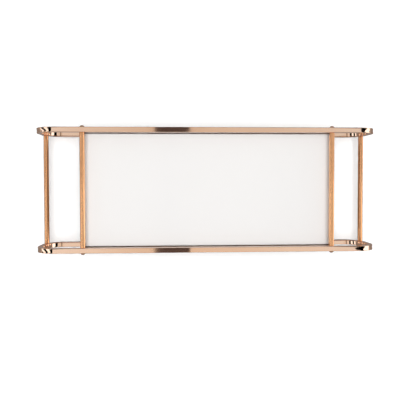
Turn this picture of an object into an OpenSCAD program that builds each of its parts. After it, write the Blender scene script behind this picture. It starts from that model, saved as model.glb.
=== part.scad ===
// Raised dresser vanity tray: two closed bar loops joined by round rods,
// with a glass-topped panel let into a ledge just below the upper bars.
// Millimetres, +Z up. The origin is the centre of the footprint, on the surface it stands on.

/* [Frame] */
// Overall length, along X
tray_length = 400; // [340:5:480]
// Overall width over the two side loops, along Y, without the screw heads
tray_width = 144; // [120:2:200]
// Height of the side loops
loop_height = 60; // [54:1:80]
// Outer radius of the four bends of each loop
bend_radius = 22.5; // [18:0.5:25]
// Side of the square bar that the loops are bent from
bar_size = 6; // [5:0.5:7]

/* [Rods] */
// Diameter of the end rails and the handle rods
rod_diameter = 6; // [5:0.5:7]
// Distance from each end of the tray to its end rail
hand_bay = 56; // [48:1:70]
// Angle below the horizontal at which the handle rod sits on the lower bend
handle_angle = 20; // [10:1:30]

/* [Panel] */
// Depth of the glass below the top of the frame
rim_depth = 12; // [10:0.5:14]
// Thickness of the glass
glass_thickness = 3; // [3:0.5:4]
// Thickness of the backing board
board_thickness = 3; // [2:0.5:4]
// Thickness of the foam tape under the board
tape_thickness = 1; // [0.8:0.1:1.5]
// Thickness of the vinyl sheets under the board
vinyl_thickness = 0.5; // [0.4:0.1:0.8]
// Thickness of the ledge strip metal
ledge_thickness = 1.5; // [1.2:0.1:2]
// Width of the ledge flange under the panel
ledge_width = 10; // [8:0.5:12]
// Width of the cross bar under the middle of the panel
cross_bar_width = 16; // [12:1:20]

/* [Fasteners and feet] */
// Diameter of the rod screws' thread
screw_diameter = 3; // [2.5:0.5:3]
// Diameter of the rod screws' domed heads
head_diameter = 6; // [5:0.5:6]
// Height of the rod screws' domed heads
head_height = 2; // [1.5:0.1:2.2]
// Length of thread inside each rod
thread_depth = 14; // [10:1:20]
// Diameter of the foot pads
pad_diameter = 5; // [4:0.5:5]
// Thickness of the foot pads
pad_thickness = 1; // [0.8:0.1:1.5]

/* [Hidden] */

polished_rose = [0.86, 0.70, 0.60];
copper_rod = [0.87, 0.62, 0.43];
panel_white = [0.96, 0.955, 0.95];
board_brown = [0.60, 0.47, 0.34];
vinyl_black = [0.13, 0.13, 0.14];
tape_grey = [0.55, 0.55, 0.55];
screw_rose = [0.80, 0.58, 0.45];
pad_clear = [0.80, 0.80, 0.80];

round_fn = 64;
small_fn = 32;
// Gap round the panel, and round the vinyl
panel_gap = 0.5;
// Slack of a screw in its clearance hole, on the diameter
hole_slack = 0.4;
// An overlap that makes a cut run clean through a face
cut_over = 1;

// Loop placing
frame_top = pad_thickness + loop_height;
half_length = tray_length / 2;
half_width = tray_width / 2;
inner_y = half_width - bar_size;
bar_under = frame_top - bar_size;
bend_centre_x = half_length - bend_radius;
lower_bend_z = pad_thickness + bend_radius;
bend_middle = bend_radius - bar_size / 2;

// Rod placing
rail_x = half_length - hand_bay;
rail_z = frame_top - bar_size / 2;
handle_x = bend_centre_x + bend_middle * cos(handle_angle);
handle_z = lower_bend_z - bend_middle * sin(handle_angle);
rod_length = 2 * inner_y;

// Panel stack, from the top down
glass_top = frame_top - rim_depth;
glass_z = glass_top - glass_thickness;
board_z = glass_z - board_thickness;
tape_z = board_z - tape_thickness;
ledge_z = tape_z - ledge_thickness;
vinyl_z = board_z - vinyl_thickness;

// Panel outline
ledge_outer_x = rail_x + rod_diameter / 2;
ledge_inner_x = ledge_outer_x - ledge_width;
ledge_inner_y = inner_y + ledge_thickness - ledge_width;
panel_half_x = ledge_outer_x - ledge_thickness - panel_gap;
panel_half_y = inner_y - panel_gap;
cross_half = cross_bar_width / 2;

// Ledge fixing under the upper bars
fix_flange = bar_size - ledge_thickness - 0.5;
fix_y = inner_y + ledge_thickness + fix_flange / 2;
fix_screw_diameter = 1.6;
fix_head_diameter = 2.8;
fix_head_height = 0.9;
fix_thread = 3;
fix_pitch = 120;
end_wall_top = bar_under - 2;

// Drive sockets of the screws
socket_width = 2.3;
socket_depth = 1.1;
fix_socket_width = 1.2;
fix_socket_depth = 0.5;

// Foot pads
pad_x = bend_centre_x - 12;
pad_y = half_width - bar_size / 2;

// A rectangle with round corners, centred on its middle
module round_rect(length, height, radius) {
    square([length - 2 * radius, height], center = true);
    square([length, height - 2 * radius], center = true);
    for (sx = [-1, 1]) for (sy = [-1, 1])
        translate([sx * (length / 2 - radius), sy * (height / 2 - radius)])
            circle(r = radius, $fn = round_fn);
}

// One closed loop of square bar, upright, its outer face at y = 0 and its bar towards +Y
module loop_blank() {
    translate([0, bar_size, pad_thickness + loop_height / 2])
        rotate([90, 0, 0])
            linear_extrude(bar_size)
                difference() {
                    round_rect(tray_length, loop_height, bend_radius);
                    round_rect(tray_length - 2 * bar_size, loop_height - 2 * bar_size,
                               bend_radius - bar_size);
                }
}

// A round hole along Y, through the bar
module cross_hole(x, z, diameter) {
    translate([x, -cut_over, z])
        rotate([-90, 0, 0])
            cylinder(d = diameter, h = bar_size + 2 * cut_over, $fn = small_fn);
}

// A loop at the front, with its holes for rods and ledge
module side_loop() {
    translate([0, -half_width, 0])
        difference() {
            loop_blank();
            for (sx = [-1, 1]) cross_hole(sx * rail_x, rail_z, screw_diameter + hole_slack);
            for (sx = [-1, 1]) cross_hole(sx * handle_x, handle_z, screw_diameter + hole_slack);
            for (step = [-1:1])
                translate([step * fix_pitch, half_width - fix_y, bar_under - cut_over])
                    cylinder(d = fix_screw_diameter, h = fix_thread + cut_over, $fn = small_fn);
        }
}

module front_side_loop() {
    color(polished_rose) side_loop();
}

module rear_side_loop() {
    color(polished_rose) mirror([0, 1, 0]) side_loop();
}

// A round rod across the tray, tapped at both ends
module tapped_rod(x, z) {
    translate([x, -rod_length / 2, z])
        rotate([-90, 0, 0])
            difference() {
                cylinder(d = rod_diameter, h = rod_length, $fn = round_fn);
                translate([0, 0, -cut_over])
                    cylinder(d = screw_diameter, h = thread_depth + cut_over, $fn = small_fn);
                translate([0, 0, rod_length - thread_depth])
                    cylinder(d = screw_diameter, h = thread_depth + cut_over, $fn = small_fn);
            }
}

module left_end_rail() {
    color(copper_rod) tapped_rod(-rail_x, rail_z);
}

module right_end_rail() {
    color(copper_rod) tapped_rod(rail_x, rail_z);
}

module left_handle_rod() {
    color(copper_rod) tapped_rod(-handle_x, handle_z);
}

module right_handle_rod() {
    color(copper_rod) tapped_rod(handle_x, handle_z);
}

// The strip under the front upper bar: fixing flange, web and panel flange
module side_ledge() {
    web_top = bar_under;
    difference() {
        union() {
            translate([-ledge_outer_x, -inner_y - ledge_thickness, ledge_z])
                cube([2 * ledge_outer_x, ledge_thickness, web_top - ledge_z]);
            translate([-ledge_outer_x, -inner_y - ledge_thickness, ledge_z])
                cube([2 * ledge_outer_x, ledge_width, ledge_thickness]);
            translate([-ledge_outer_x, -inner_y - ledge_thickness - fix_flange,
                       web_top - ledge_thickness])
                cube([2 * ledge_outer_x, fix_flange + ledge_thickness, ledge_thickness]);
        }
        for (step = [-1:1])
            translate([step * fix_pitch, -fix_y, web_top - ledge_thickness - cut_over])
                cylinder(d = fix_screw_diameter + hole_slack / 2,
                         h = ledge_thickness + 2 * cut_over, $fn = small_fn);
    }
}

module front_ledge() {
    color(polished_rose) side_ledge();
}

module rear_ledge() {
    color(polished_rose) mirror([0, 1, 0]) side_ledge();
}

// The angle strip under the right end rail
module end_ledge() {
    translate([ledge_outer_x - ledge_thickness, -inner_y, tape_z])
        cube([ledge_thickness, 2 * inner_y, end_wall_top - tape_z]);
    translate([ledge_inner_x, -ledge_inner_y, ledge_z])
        cube([ledge_width, 2 * ledge_inner_y, ledge_thickness]);
}

module left_end_ledge() {
    color(polished_rose) mirror([1, 0, 0]) end_ledge();
}

module right_end_ledge() {
    color(polished_rose) end_ledge();
}

module cross_bar() {
    color(polished_rose)
        translate([-cross_half, -ledge_inner_y, ledge_z])
            cube([cross_bar_width, 2 * ledge_inner_y, ledge_thickness]);
}

// A flat slab as large as the panel
module panel_slab(z, thickness) {
    translate([-panel_half_x, -panel_half_y, z])
        cube([2 * panel_half_x, 2 * panel_half_y, thickness]);
}

module glass_panel() {
    color(panel_white) panel_slab(glass_z, glass_thickness);
}

module backing_board() {
    color(board_brown) panel_slab(board_z, board_thickness);
}

// Two sheets that fill the windows between the ledges and the cross bar
module vinyl_backing() {
    sheet_from = cross_half + panel_gap;
    sheet_to = ledge_inner_x - panel_gap;
    sheet_half_y = ledge_inner_y - panel_gap;
    color(vinyl_black)
        for (side = [0, 1]) mirror([side, 0, 0])
            translate([sheet_from, -sheet_half_y, vinyl_z])
                cube([sheet_to - sheet_from, 2 * sheet_half_y, vinyl_thickness]);
}

// Four strips of tape on the ledge flanges, and one on the cross bar
module foam_tape() {
    long_half = panel_half_x - panel_gap;
    strip = ledge_width - ledge_thickness - 2 * panel_gap;
    color(tape_grey) {
        for (side = [0, 1]) mirror([0, side, 0])
            translate([-long_half, ledge_inner_y, tape_z])
                cube([2 * long_half, strip, tape_thickness]);
        for (side = [0, 1]) mirror([side, 0, 0])
            translate([ledge_inner_x, panel_gap - ledge_inner_y, tape_z])
                cube([strip, 2 * (ledge_inner_y - panel_gap), tape_thickness]);
        translate([-cross_half, panel_gap - ledge_inner_y, tape_z])
            cube([cross_bar_width, 2 * (ledge_inner_y - panel_gap), tape_thickness]);
    }
}

// A domed screw: thread along +Y from the loop's outer face, head outside it
module rod_screw() {
    dome_radius = (pow(head_diameter / 2, 2) + pow(head_height, 2)) / (2 * head_height);
    rotate([-90, 0, 0]) {
        cylinder(d = screw_diameter, h = bar_size + thread_depth, $fn = small_fn);
        difference() {
            intersection() {
                translate([0, 0, dome_radius - head_height])
                    sphere(r = dome_radius, $fn = round_fn);
                translate([0, 0, -head_height])
                    cylinder(d = head_diameter, h = head_height, $fn = round_fn);
            }
            translate([0, 0, -head_height - cut_over])
                cylinder(d = socket_width, h = socket_depth + cut_over, $fn = 6);
        }
    }
}

// Four screws, one at each end of the two rods at x and -x
module rod_screw_set(x, z) {
    for (turn = [0, 1]) for (side = [-1, 1])
        mirror([0, turn, 0])
            translate([side * x, -half_width, z]) rod_screw();
}

module end_rail_screws() {
    color(screw_rose) rod_screw_set(rail_x, rail_z);
}

module handle_rod_screws() {
    color(screw_rose) rod_screw_set(handle_x, handle_z);
}

// A small screw driven up through the ledge's fixing flange into the bar
module fix_screw() {
    difference() {
        union() {
            cylinder(d = fix_screw_diameter, h = ledge_thickness + fix_thread, $fn = small_fn);
            translate([0, 0, -fix_head_height])
                cylinder(d = fix_head_diameter, h = fix_head_height, $fn = small_fn);
        }
        translate([0, 0, -fix_head_height - cut_over])
            cylinder(d = fix_socket_width, h = fix_socket_depth + cut_over, $fn = 6);
    }
}

module ledge_screws() {
    color(screw_rose)
        for (side = [-1, 1]) for (step = [-1:1])
            translate([step * fix_pitch, side * fix_y, bar_under - ledge_thickness])
                fix_screw();
}

module foot_pads() {
    color(pad_clear)
        for (sx = [-1, 1]) for (sy = [-1, 1])
            translate([sx * pad_x, sy * pad_y, 0])
                cylinder(d = pad_diameter, h = pad_thickness, $fn = small_fn);
}

front_side_loop();
rear_side_loop();
left_end_rail();
right_end_rail();
left_handle_rod();
right_handle_rod();
front_ledge();
rear_ledge();
left_end_ledge();
right_end_ledge();
cross_bar();
glass_panel();
backing_board();
vinyl_backing();
foam_tape();
end_rail_screws();
handle_rod_screws();
ledge_screws();
foot_pads();
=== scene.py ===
"""Looks of the dresser vanity tray: polished rose-gold loops, satin copper rods and a white glass panel.

Metres, in the part's own frame: X along the tray, Y across it, Z up from the surface it stands on.
"""

import math

import bmesh
import bpy
from mathutils import Matrix, Vector


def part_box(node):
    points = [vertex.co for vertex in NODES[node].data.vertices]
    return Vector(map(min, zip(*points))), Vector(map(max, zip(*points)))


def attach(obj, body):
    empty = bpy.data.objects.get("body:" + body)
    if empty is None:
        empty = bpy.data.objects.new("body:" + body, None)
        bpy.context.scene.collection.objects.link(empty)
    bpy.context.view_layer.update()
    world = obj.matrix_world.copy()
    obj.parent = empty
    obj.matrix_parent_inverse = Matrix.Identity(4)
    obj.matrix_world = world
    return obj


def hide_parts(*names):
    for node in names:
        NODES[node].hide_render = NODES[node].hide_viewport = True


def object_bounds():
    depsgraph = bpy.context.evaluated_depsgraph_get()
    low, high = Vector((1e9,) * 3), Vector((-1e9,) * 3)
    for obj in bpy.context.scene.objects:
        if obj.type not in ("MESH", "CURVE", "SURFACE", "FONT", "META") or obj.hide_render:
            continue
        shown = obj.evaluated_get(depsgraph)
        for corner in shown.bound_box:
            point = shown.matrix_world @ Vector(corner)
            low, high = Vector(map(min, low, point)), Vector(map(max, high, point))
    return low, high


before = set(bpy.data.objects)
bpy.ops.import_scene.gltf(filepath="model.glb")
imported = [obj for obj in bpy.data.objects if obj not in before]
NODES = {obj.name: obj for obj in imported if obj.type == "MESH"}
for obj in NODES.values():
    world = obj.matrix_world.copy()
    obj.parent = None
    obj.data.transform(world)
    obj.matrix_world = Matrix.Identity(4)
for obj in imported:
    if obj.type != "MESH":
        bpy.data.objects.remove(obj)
cad_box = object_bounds()
MM = 0.001

# Shape values that the part's design also holds
BEND_RADIUS = 22.5 * MM
SCREW_DIAMETER = 3.0 * MM

# Finer shape of the looks
BAR_EDGE_RADIUS = 0.55 * MM
BAR_EDGE_STEPS = 4
BAR_FACE_STEPS = 8
BEND_STEPS = 48
STRAIGHT_STEPS = 12
BEND_DISH = 0.42 * MM
BEND_TWIST = 0.22 * MM
ROD_CHAMFER = 0.45 * MM
ROD_SIDES = 96
CREASE_ANGLE = 30
GLASS_ARRIS = 0.6 * MM
STRIP_EDGE = 0.25 * MM
PAD_EDGE = 0.2 * MM
WELD_DISTANCE = 0.01 * MM
BEVEL_SEGMENTS = 3
BEVEL_ANGLE = 40

# Colours of the materials: each pair is the two tones that a pattern runs between
BAR_TONES = (0.83, 0.605, 0.465), (0.79, 0.565, 0.425)
ROD_TONES = (0.93, 0.515, 0.275), (0.90, 0.485, 0.25)
STRIP_TONES = (0.40, 0.245, 0.165), (0.30, 0.175, 0.115)
SCREW_TONES = (0.82, 0.575, 0.44), (0.70, 0.46, 0.33)
GLASS_TONES = (0.812, 0.80, 0.79), (0.804, 0.792, 0.782)
BOARD_TONES = (0.33, 0.205, 0.115), (0.20, 0.115, 0.06)
BOARD_FLECK = (0.46, 0.32, 0.19)
VINYL_TONES = (0.022, 0.022, 0.025), (0.036, 0.035, 0.038)
FOAM_TONES = (0.20, 0.20, 0.21), (0.33, 0.33, 0.34)
PAD_TONES = (0.88, 0.88, 0.87), (0.76, 0.77, 0.78)
WHITE = (1.0, 1.0, 1.0, 1.0)

# Camera: above the tray, a little left of its middle, looking down
CAMERA_PLACE = Vector((-0.0416, 0.0101, 0.5668))
CAMERA_TURNS = (-2.53, -1.40, -0.13)
CAMERA_LENS = 39.82
CAMERA_SHIFT = (0.02, -0.02)
SENSOR = 36.0

# Room, key light and floor
ROOM_LIGHT = 0.42
KEY_HEIGHT = 1.25
KEY_SIZE = (0.9, 0.7)
KEY_POWER = 11.6
FLOOR_SIZE = 14.0
FLOOR_WHITE = 0.90
FLOOR_GRAIN = 0.005
TABLE_GLOW = 0.26

# Tunnel of cards that the metal mirrors. Spans are degrees beyond the last place that the flat bars mirror,
# but the right strip's end is counted from overhead. Slants are degrees, of a card's first and last edge.
# The front gain brightens the tunnel's front end and dims its rear end.
TUNNEL_RADIUS = 1.3
TUNNEL_HALF_LENGTH = 0.95
TUNNEL_STEPS = 24
BAR_MIRROR_LINE = 0.23
FRONT_GAIN = 0.25
CAMERA_SHAPE_WIDTH = 0.040
CAMERA_SHAPE_TINT = (0.10, 0.075, 0.07)
SOFTBOX_LEFT_TINT = (1.01, 1.0, 1.0)
SOFTBOX_MIDDLE_TINT = (0.86, 0.76, 0.66)
SOFTBOX_RIGHT_TINT = (0.94, 0.93, 0.92)
SOFTBOX_LEFT_SPAN = 4
SOFTBOX_RIGHT_SPAN = 2
SOFTBOX_LEFT_SLANT = -20
SOFTBOX_RIGHT_SLANT = 30
LEFT_STRIP_SPAN = (36, 20)
LEFT_STRIP_SLANTS = (-55, -55)
LEFT_STRIP_GLOW = 1.6
LEFT_LOW_STRIP_SPAN = (66, 52)
LEFT_LOW_STRIP_SLANTS = (-40, -55)
LEFT_LOW_STRIP_GLOW = 1.5
RIGHT_STRIP_SPAN = 26
RIGHT_STRIP_END = 86
RIGHT_STRIP_SLANTS = (55, 10)
RIGHT_STRIP_GLOW = 1.9

# Walls and table that the metal mirrors
WALL_DISTANCE = 1.3
WALL_HEIGHT = 1.25
WALL_FOOT = (0.24, 0.20, 0.18)
WALL_HEAD = (0.52, 0.50, 0.48)
GROUND_CARD_LIFT = 0.05 * MM
GROUND_SIDES = 48
GROUND_RINGS = 12
# Painted shade in the table that the metal mirrors: darkest near the tray, where the tray shades it, paling
# to the far tone over the fade's span
GROUND_NEAR_SHADE = (0.31, 0.27, 0.25)
GROUND_FAR = (0.66, 0.60, 0.56)
GROUND_FADE = (0.28, 1.1)


# ---------------------------------------------------------------- helpers

def mesh_object(name, verts, faces, smooth=True):
    """A new mesh object with outward normals."""
    bm = bmesh.new()
    made = [bm.verts.new(v) for v in verts]
    for face in faces:
        bm.faces.new([made[i] for i in face])
    bmesh.ops.recalc_face_normals(bm, faces=bm.faces)
    mesh = bpy.data.meshes.new(name)
    bm.to_mesh(mesh)
    bm.free()
    for polygon in mesh.polygons:
        polygon.use_smooth = smooth
    obj = bpy.data.objects.new(name, mesh)
    bpy.context.scene.collection.objects.link(obj)
    return obj


def stand_in(obj, node, material):
    """Makes a finished piece ride on the frame and stand for a CAD node."""
    obj.data.materials.append(material)
    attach(obj, "root")
    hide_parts(node)


def dress(node, material, edge=0.0):
    """Gives a CAD node its material, and soft edges where edge is set."""
    obj = NODES[node]
    for place in obj.material_slots:
        place.material = material
    if edge:
        weld = obj.modifiers.new("weld", "WELD")
        weld.merge_threshold = WELD_DISTANCE
        bevel = obj.modifiers.new("bevel", "BEVEL")
        bevel.width = edge
        bevel.segments = BEVEL_SEGMENTS
        bevel.limit_method = "ANGLE"
        bevel.angle_limit = math.radians(BEVEL_ANGLE)
        bevel.harden_normals = True


def between(first, second, share):
    """The colour that lies a share of the way from one to another."""
    return [a + (b - a) * share for a, b in zip(first, second)]


# ---------------------------------------------------------------- material nodes

class Painter:
    """Builds one Principled material, with its patterns in the object's own coordinates."""

    def __init__(self, name, **sockets):
        self.material = bpy.data.materials.new(name)
        self.material.use_nodes = True
        self.tree = self.material.node_tree
        self.shader = self.tree.nodes["Principled BSDF"]
        self.place = self.add("ShaderNodeTexCoord").outputs["Object"]
        self.set(**sockets)

    def set(self, **sockets):
        """Sets values on the shader's own sockets."""
        for name, value in sockets.items():
            self.shader.inputs[name.replace("_", " ")].default_value = value

    def add(self, kind, **inputs):
        """A new node with values on its inputs."""
        node = self.tree.nodes.new(kind)
        for name, value in inputs.items():
            node.inputs[name.replace("_", " ")].default_value = value
        return node

    def join(self, source, target):
        self.tree.links.new(source, target)

    def stretched(self, scale):
        """The object's coordinates times a scale on each axis."""
        mapping = self.add("ShaderNodeMapping", Scale=scale)
        self.join(self.place, mapping.inputs["Vector"])
        return mapping.outputs["Vector"]

    def noise(self, scale, detail=3.0, roughness=0.55, distortion=0.0):
        """Soft noise, with scale in waves per metre on each axis."""
        node = self.add(
            "ShaderNodeTexNoise", Scale=1.0, Detail=detail, Roughness=roughness, Distortion=distortion
        )
        self.join(self.stretched(scale), node.inputs["Vector"])
        return node.outputs["Fac"]

    def cells(self, scale):
        """Distance from the middles of random cells, with scale in cells per metre on each axis."""
        node = self.add("ShaderNodeTexVoronoi", Scale=1.0)
        self.join(self.stretched(scale), node.inputs["Vector"])
        return node.outputs["Distance"]

    def spread(self, value, low, high, start=0.3, end=0.7):
        """Maps a pattern's values from start..end to low..high."""
        node = self.add("ShaderNodeMapRange", From_Min=start, From_Max=end, To_Min=low, To_Max=high)
        self.join(value, node.inputs["Value"])
        return node.outputs["Result"]

    def blend(self, factor, first, second):
        """A colour between two, by a pattern; either may be a pattern's own colour."""
        node = self.tree.nodes.new("ShaderNodeMix")
        node.data_type = "RGBA"
        self.join(factor, node.inputs[0])
        for colour, socket in ((first, node.inputs[6]), (second, node.inputs[7])):
            if hasattr(colour, "node"):
                self.join(colour, socket)
            else:
                socket.default_value = (*colour, 1.0)
        return node.outputs[2]

    def clouds(self, scale, tones, detail=3.0):
        """Slow changes between two tones."""
        return self.blend(self.spread(self.noise(scale, detail), 0.0, 1.0), *tones)

    def bump(self, height, distance, strength, under=None):
        """A relief from a pattern, on top of another relief where under is set."""
        node = self.add("ShaderNodeBump", Strength=strength, Distance=distance)
        self.join(height, node.inputs["Height"])
        if under is not None:
            self.join(under, node.inputs["Normal"])
        return node.outputs["Normal"]

    def finish(self, colour, roughness=None, normal=None):
        """Joins the patterns to the shader and gives the material."""
        for value, socket in ((colour, "Base Color"), (roughness, "Roughness"), (normal, "Normal")):
            if value is not None:
                self.join(value, self.shader.inputs[socket])
        return self.material


def polished_bar():
    """Mirror-polished rose gold with faint polishing lines along the bar and soft smudges."""
    p = Painter("rose_gold_polished", Metallic=1.0)
    colour = p.clouds((14, 40, 40), BAR_TONES, detail=2)
    lines = p.noise((60, 2600, 2600), detail=4)
    smudges = p.noise((45, 160, 160))
    fine = p.bump(lines, 0.004 * MM, 0.5)
    waves = p.bump(p.noise((30, 130, 130), detail=1), 0.02 * MM, 0.5, under=fine)
    return p.finish(colour, p.spread(smudges, 0.02, 0.07), waves)


def satin_rod():
    """Satin copper, turned on a lathe: fine rings round the rod and slow changes of tone."""
    p = Painter("copper_satin", Metallic=1.0)
    colour = p.clouds((40, 12, 40), ROD_TONES, detail=1)
    rings = p.noise((120, 5200, 120))
    return p.finish(colour, p.spread(rings, 0.13, 0.18), p.bump(rings, 0.0004 * MM, 0.4))


def bronze_strip():
    """Brushed strip metal, darker than the bars, with lines along X."""
    p = Painter("bronze_strip_brushed", Metallic=1.0)
    colour = p.clouds((22, 90, 90), STRIP_TONES)
    lines = p.noise((70, 3000, 3000), detail=4)
    return p.finish(colour, p.spread(lines, 0.30, 0.48), p.bump(lines, 0.01 * MM, 0.6))


def screw_metal():
    """Polished screw heads with tiny handling marks."""
    p = Painter("rose_screw_polished", Metallic=1.0)
    colour = p.clouds((300, 300, 300), SCREW_TONES)
    roughness = p.spread(p.noise((900, 900, 900), detail=4), 0.10, 0.24)
    return p.finish(colour, roughness, p.bump(p.noise((1500, 1500, 1500)), 0.006 * MM, 0.5))


def white_glass():
    """White back-painted glass: a glossy face with a very faint ripple."""
    p = Painter("white_glass_gloss", Specular_IOR_Level=0.25, IOR=1.5)
    colour = p.clouds((9, 9, 9), GLASS_TONES, detail=2)
    roughness = p.spread(p.noise((55, 55, 55)), 0.10, 0.17)
    return p.finish(colour, roughness, p.bump(p.noise((16, 16, 16), detail=1), 0.02 * MM, 0.4))


def raw_fibreboard():
    """Raw hardboard: brown wood fibres pressed flat."""
    p = Painter("fibreboard_raw", Specular_IOR_Level=0.25)
    fibres = p.noise((260, 900, 900), detail=5, roughness=0.7, distortion=0.6)
    flecks = p.cells((700, 1600, 1600))
    base = p.blend(p.spread(fibres, 0.0, 1.0), *BOARD_TONES)
    colour = p.blend(p.spread(flecks, 0.35, 0.0, 0.0, 0.5), base, BOARD_FLECK)
    return p.finish(colour, p.spread(fibres, 0.72, 0.9), p.bump(fibres, 0.06 * MM, 0.7))


def grained_vinyl():
    """Black vinyl with a fine leather-like grain."""
    p = Painter("vinyl_grained", Specular_IOR_Level=0.4)
    grain = p.cells((900, 900, 900))
    colour = p.clouds((120, 120, 120), VINYL_TONES)
    return p.finish(colour, p.spread(grain, 0.42, 0.62, 0.1, 0.7), p.bump(grain, 0.08 * MM, 0.6))


def closed_foam():
    """Grey closed-cell foam."""
    p = Painter("foam_closed_cell", Specular_IOR_Level=0.3)
    cells = p.cells((2400, 2400, 2400))
    colour = p.blend(p.spread(cells, 0.0, 1.0, 0.1, 0.7), *FOAM_TONES)
    return p.finish(colour, p.spread(cells, 0.75, 0.95, 0.1, 0.7), p.bump(cells, 0.12 * MM, 0.8))


def clear_rubber():
    """Clear soft rubber, slightly milky."""
    p = Painter("pad_clear_rubber", IOR=1.42, Transmission_Weight=0.6)
    colour = p.clouds((500, 500, 500), PAD_TONES)
    return p.finish(colour, p.spread(p.noise((1300, 1300, 1300)), 0.22, 0.38))


def floor_paper():
    """Plain pale studio table, which glows a little."""
    p = Painter("studio_table", Specular_IOR_Level=0.0, Roughness=1.0)
    p.set(Emission_Color=WHITE, Emission_Strength=TABLE_GLOW)
    light = (FLOOR_WHITE + FLOOR_GRAIN,) * 3
    dark = (FLOOR_WHITE - FLOOR_GRAIN,) * 3
    return p.finish(p.clouds((40, 40, 40), (light, dark), detail=2))


# ---------------------------------------------------------------- loops

def bar_section(half):
    """Points round the bar's section, with rounded edges, as (out, across).
    Out is away from the loop's middle, and across is along Y."""
    flat = half - BAR_EDGE_RADIUS
    quarter = [(half, -flat + 2 * flat * step / BAR_FACE_STEPS) for step in range(BAR_FACE_STEPS)]
    for step in range(BAR_EDGE_STEPS):
        angle = math.pi / 2 * step / BAR_EDGE_STEPS
        quarter.append((flat + BAR_EDGE_RADIUS * math.cos(angle), flat + BAR_EDGE_RADIUS * math.sin(angle)))
    points = []
    for number in range(4):
        turn = number * math.pi / 2
        for x, y in quarter:
            points.append((x * math.cos(turn) - y * math.sin(turn), x * math.sin(turn) + y * math.cos(turn)))
    return points


def loop_stations(half_length, low, high, radius):
    """Stations along the bar's middle line: the place in XZ, the outward direction, and the share of the bend
    that lies behind it (0 on straights)."""
    corners = [
        (half_length - radius, high - radius, 90),
        (-half_length + radius, high - radius, 180),
        (-half_length + radius, low + radius, 270),
        (half_length - radius, low + radius, 360),
    ]
    stations = []
    for (cx, cz, end_angle), (nx, nz, _) in zip(corners, corners[1:] + corners[:1]):
        for step in range(BEND_STEPS + 1):
            share = step / BEND_STEPS
            angle = math.radians(end_angle - 90 + 90 * share)
            outward = (math.cos(angle), math.sin(angle))
            stations.append(((cx + radius * outward[0], cz + radius * outward[1]), outward, share))
        angle = math.radians(end_angle)
        outward = (math.cos(angle), math.sin(angle))
        for step in range(1, STRAIGHT_STEPS):
            share = step / STRAIGHT_STEPS
            x = cx + (nx - cx) * share + radius * outward[0]
            z = cz + (nz - cz) * share + radius * outward[1]
            stations.append(((x, z), outward, 0.0))
    return stations


def bend_dip(out, across, half, share):
    """How far the outer face sinks at a bend: a shallow dish with a slow twist, as a bent bar has."""
    if out < half - BAR_EDGE_RADIUS:
        return 0.0
    rise = math.sin(math.pi * share)
    crown = 1 - (across / half) ** 2
    twist = 0.5 + 0.5 * math.sin(2 * math.pi * share) * across / half
    return rise * (BEND_DISH * crown + BEND_TWIST * twist)


def wrapped_grid(rows, columns):
    """Faces of a grid whose last row and column join its first."""
    faces = []
    for row in range(rows):
        here, after = row * columns, (row + 1) % rows * columns
        for column in range(columns):
            beside = (column + 1) % columns
            faces.append((here + column, here + beside, after + beside, after + column))
    return faces


def loop_piece(name, node, material):
    """A closed loop of square bar, swept with rounded edges and slightly sunken bends."""
    low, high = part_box(node)
    half = (high.y - low.y) / 2
    middle_y = (high.y + low.y) / 2
    section = bar_section(half)
    stations = loop_stations(high.x - half, low.z + half, high.z - half, BEND_RADIUS - half)
    verts = []
    for (x, z), outward, share in stations:
        for out, across in section:
            depth = out - bend_dip(out, across, half, share)
            verts.append((x + outward[0] * depth, middle_y + across, z + outward[1] * depth))
    loop = mesh_object(name, verts, wrapped_grid(len(stations), len(section)))
    stand_in(loop, node, material)


# ---------------------------------------------------------------- rods

def lathe(profile, centre):
    """Turns (radius, along Y) points round the Y axis through centre."""
    verts, rings = [], []
    for radius, along in profile:
        y = centre.y + along
        if radius == 0.0:
            rings.append([len(verts)] * ROD_SIDES)
            verts.append((centre.x, y, centre.z))
            continue
        rings.append(list(range(len(verts), len(verts) + ROD_SIDES)))
        for side in range(ROD_SIDES):
            angle = 2 * math.pi * side / ROD_SIDES
            verts.append((centre.x + radius * math.cos(angle), y, centre.z + radius * math.sin(angle)))
    faces = []
    for first, second in zip(rings, rings[1:]):
        for side in range(ROD_SIDES):
            after = (side + 1) % ROD_SIDES
            face = [first[side], first[after], second[after], second[side]]
            faces.append(list(dict.fromkeys(face)))
    return verts, faces


def mark_creases(obj):
    """Sharp edges where the surface turns by the crease angle or more."""
    bm = bmesh.new()
    bm.from_mesh(obj.data)
    for edge in bm.edges:
        edge.smooth = edge.calc_face_angle(0.0) < math.radians(CREASE_ANGLE)
    bm.to_mesh(obj.data)
    bm.free()


def rod_piece(name, node, material):
    """A round rod with chamfered ends and the open mouths of its tapped holes, a screw's diameter deep."""
    low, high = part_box(node)
    radius = (high.x - low.x) / 2
    half = (high.y - low.y) / 2
    mouth = SCREW_DIAMETER / 2
    end = [
        (0.0, half - SCREW_DIAMETER),
        (mouth, half - SCREW_DIAMETER),
        (mouth, half),
        (radius - ROD_CHAMFER, half),
        (radius, half - ROD_CHAMFER),
    ]
    profile = [(out, -along) for out, along in end] + end[::-1]
    verts, faces = lathe(profile, (low + high) / 2)
    rod = mesh_object(name, verts, faces)
    mark_creases(rod)
    stand_in(rod, node, material)


# ---------------------------------------------------------------- studio

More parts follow.
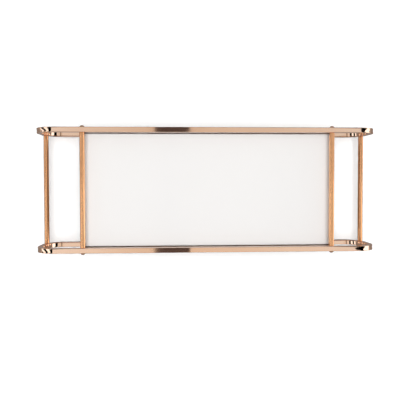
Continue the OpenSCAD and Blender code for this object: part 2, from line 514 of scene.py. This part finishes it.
def card(name, verts, faces, tints):
    """A glowing card that only shows in reflections, with a brightness and colour at each of its corners."""
    obj = mesh_object(name, verts, faces, smooth=False)
    paint = obj.data.color_attributes.new("tint", "FLOAT_COLOR", "POINT")
    for point, tint in zip(paint.data, tints):
        point.color = (*tint, 1.0)
    material = bpy.data.materials.new(name)
    material.use_nodes = True
    tree = material.node_tree
    tree.nodes.clear()
    tint = tree.nodes.new("ShaderNodeAttribute")
    tint.attribute_name = "tint"
    glow = tree.nodes.new("ShaderNodeEmission")
    out = tree.nodes.new("ShaderNodeOutputMaterial")
    tree.links.new(tint.outputs["Color"], glow.inputs["Color"])
    tree.links.new(glow.outputs["Emission"], out.inputs["Surface"])
    obj.data.materials.append(material)
    obj.visible_camera = False
    obj.visible_diffuse = False
    obj.visible_transmission = False
    obj.visible_shadow = False


def ground_card(name):
    """The table as the metal mirrors it, a painted reflection: darker and browner than the white one that the
    camera sees, with painted shade that is darkest near the tray, where the tray shades the table."""
    near, far = GROUND_FADE
    radii = [near + (far - near) * ring / GROUND_RINGS for ring in range(GROUND_RINGS + 1)]
    radii.append(FLOOR_SIZE / 2)
    verts, tints = [(0, 0, GROUND_CARD_LIFT)], [GROUND_NEAR_SHADE]
    for radius in radii:
        tint = between(GROUND_NEAR_SHADE, GROUND_FAR, min((radius - near) / (far - near), 1.0))
        for side in range(GROUND_SIDES):
            angle = 2 * math.pi * side / GROUND_SIDES
            verts.append((radius * math.cos(angle), radius * math.sin(angle), GROUND_CARD_LIFT))
            tints.append(tint)
    faces = [(0, 1 + side, 1 + (side + 1) % GROUND_SIDES) for side in range(GROUND_SIDES)]
    for ring in range(len(radii) - 1):
        here = 1 + ring * GROUND_SIDES
        outer = here + GROUND_SIDES
        for side in range(GROUND_SIDES):
            after = (side + 1) % GROUND_SIDES
            faces.append((here + side, here + after, outer + after, outer + side))
    card(name, verts, faces, tints)


def tunnel_card(name, start, end, first, last, slants=(0.0, 0.0)):
    """A strip of a tunnel round the Y axis over the tray, from one angle to another; 0 is overhead, 90 is the
    right horizon. Its colour goes from first to last. The slants turn its start and end edges, in each half
    about the line that the half's flat bar mirrors, so that both loops' bends show diagonals."""
    verts, tints, faces = [], [], []
    for side in (-1, 1):
        base = len(verts)
        for step in range(TUNNEL_STEPS + 1):
            share = step / TUNNEL_STEPS
            tint = between(first, last, share)
            slant = slants[0] + (slants[1] - slants[0]) * share
            for y in (0.0, side * TUNNEL_HALF_LENGTH):
                shift = slant * (y - side * BAR_MIRROR_LINE) / TUNNEL_HALF_LENGTH
                angle = math.radians(start + (end - start) * share - shift)
                verts.append((TUNNEL_RADIUS * math.sin(angle), y, TUNNEL_RADIUS * math.cos(angle)))
                tints.append([t * (1 - y / TUNNEL_HALF_LENGTH * FRONT_GAIN) for t in tint])
        for step in range(TUNNEL_STEPS):
            corner = base + 2 * step
            faces.append((corner, corner + 1, corner + 3, corner + 2))
    card(name, verts, faces, tints)


def strip_card(name, start, end, glow, slants):
    """A white strip of the tunnel."""
    tunnel_card(name, start, end, (glow,) * 3, (glow,) * 3, slants)


def wall_card(name, side):
    """An upright card in front of the tray (side -1) or behind it, which brightens upwards."""
    away = side * WALL_DISTANCE
    reach = 2 * WALL_DISTANCE
    corners = [(-reach, away, 0), (reach, away, 0), (reach, away, WALL_HEIGHT), (-reach, away, WALL_HEIGHT)]
    card(name, corners, [(0, 1, 2, 3)], [WALL_FOOT, WALL_FOOT, WALL_HEAD, WALL_HEAD])


def mirrored_angle(x, top):
    """The tunnel's angle that the camera sees mirrored in a flat face at x."""
    tilt = math.atan2(x - CAMERA_PLACE.x, CAMERA_PLACE.z - top)
    height = top / TUNNEL_RADIUS
    return math.degrees(tilt + math.asin(x / TUNNEL_RADIUS * math.cos(tilt) - height * math.sin(tilt)))


def build_cards():
    """What the metal mirrors: a softbox over the flat bars with the camera's dark shape in it, bright strips
    beyond its ends with dark gaps between them, two walls and the table."""
    top = cad_box[1].z
    flat_end = cad_box[1].x - BEND_RADIUS
    left = mirrored_angle(-flat_end, top)
    right = mirrored_angle(flat_end, top)
    camera_left = mirrored_angle(CAMERA_PLACE.x - CAMERA_SHAPE_WIDTH / 2, top)
    camera_right = mirrored_angle(CAMERA_PLACE.x + CAMERA_SHAPE_WIDTH / 2, top)
    tunnel_card(
        "softbox_left", left - SOFTBOX_LEFT_SPAN, camera_left,
        SOFTBOX_LEFT_TINT, SOFTBOX_MIDDLE_TINT, (SOFTBOX_LEFT_SLANT, 0),
    )
    tunnel_card("camera_shape", camera_left, camera_right, CAMERA_SHAPE_TINT, CAMERA_SHAPE_TINT)
    tunnel_card(
        "softbox_right", camera_right, right + SOFTBOX_RIGHT_SPAN,
        SOFTBOX_MIDDLE_TINT, SOFTBOX_RIGHT_TINT, (0, SOFTBOX_RIGHT_SLANT),
    )
    for name, (start, end), glow, slants in (
        ("left_strip", LEFT_STRIP_SPAN, LEFT_STRIP_GLOW, LEFT_STRIP_SLANTS),
        ("left_low_strip", LEFT_LOW_STRIP_SPAN, LEFT_LOW_STRIP_GLOW, LEFT_LOW_STRIP_SLANTS),
    ):
        strip_card(name, left - start, left - end, glow, slants)
    strip_card("right_strip", right + RIGHT_STRIP_SPAN, RIGHT_STRIP_END, RIGHT_STRIP_GLOW, RIGHT_STRIP_SLANTS)
    wall_card("wall_front", -1)
    wall_card("wall_back", 1)
    ground_card("ground")


def build_floor():
    """A wide flat table."""
    half = FLOOR_SIZE / 2
    corners = [(-half, -half, 0), (half, -half, 0), (half, half, 0), (-half, half, 0)]
    floor = mesh_object("floor", corners, [(0, 1, 2, 3)], smooth=False)
    floor.data.materials.append(floor_paper())


def build_key():
    """A large softbox overhead that lights the matt surfaces; the metal mirrors the cards instead."""
    light = bpy.data.lights.new("key", "AREA")
    light.shape = "RECTANGLE"
    light.size, light.size_y = KEY_SIZE
    light.energy = KEY_POWER
    key = bpy.data.objects.new("key", light)
    key.location = (CAMERA_PLACE.x, CAMERA_PLACE.y, KEY_HEIGHT)
    key.visible_camera = False
    key.visible_glossy = False
    bpy.context.scene.collection.objects.link(key)


def build_room():
    """An even white room, which lights the tray but isn't mirrored in it; the cards are.
    Seen directly, it has the far floor's brightness, so no horizon shows."""
    world = bpy.data.worlds.new("studio")
    world.use_nodes = True
    tree = world.node_tree
    sky = tree.nodes["Background"]
    sky.inputs["Color"].default_value = WHITE
    ray = tree.nodes.new("ShaderNodeLightPath")
    strength = tree.nodes.new("ShaderNodeMapRange")
    strength.inputs["To Min"].default_value = ROOM_LIGHT
    strength.inputs["To Max"].default_value = ROOM_LIGHT * FLOOR_WHITE + TABLE_GLOW
    tree.links.new(ray.outputs["Is Camera Ray"], strength.inputs["Value"])
    tree.links.new(strength.outputs["Result"], sky.inputs["Strength"])
    bpy.context.scene.world = world
    world.cycles_visibility.glossy = False
    bpy.context.scene.view_settings.view_transform = "Standard"


def build_camera():
    """The camera that took the picture: close above the tray, almost straight down."""
    yaw, pitch, roll = (math.radians(angle) for angle in CAMERA_TURNS)
    data = bpy.data.cameras.new("camera")
    data.sensor_width = SENSOR
    data.lens = CAMERA_LENS
    data.shift_x, data.shift_y = CAMERA_SHIFT
    camera = bpy.data.objects.new("camera", data)
    turn = Matrix.Rotation(yaw, 4, "Y") @ Matrix.Rotation(pitch, 4, "X") @ Matrix.Rotation(roll, 4, "Z")
    camera.matrix_world = Matrix.Translation(CAMERA_PLACE) @ turn
    bpy.context.scene.collection.objects.link(camera)
    bpy.context.scene.camera = camera


# ---------------------------------------------------------------- the tray

def build_tray():
    """Finished loops and rods in place of the CAD ones, and materials for the rest."""
    bar, rod, strip = polished_bar(), satin_rod(), bronze_strip()
    for side in ("front", "rear"):
        loop_piece(f"{side}_loop_polished", f"{side}_side_loop", bar)
        dress(f"{side}_ledge", strip, STRIP_EDGE)
    for side in ("left", "right"):
        rod_piece(f"{side}_end_rail_satin", f"{side}_end_rail", rod)
        rod_piece(f"{side}_handle_rod_satin", f"{side}_handle_rod", rod)
        dress(f"{side}_end_ledge", strip, STRIP_EDGE)
    dress("cross_bar", strip, STRIP_EDGE)
    dress("glass_panel", white_glass(), GLASS_ARRIS)
    dress("backing_board", raw_fibreboard(), STRIP_EDGE)
    dress("vinyl_backing", grained_vinyl())
    dress("foam_tape", closed_foam())
    screw = screw_metal()
    for group in ("end_rail_screws", "handle_rod_screws", "ledge_screws"):
        dress(group, screw)
    dress("foot_pads", clear_rubber(), PAD_EDGE)


build_tray()
build_floor()
build_cards()
build_key()
build_room()
build_camera()
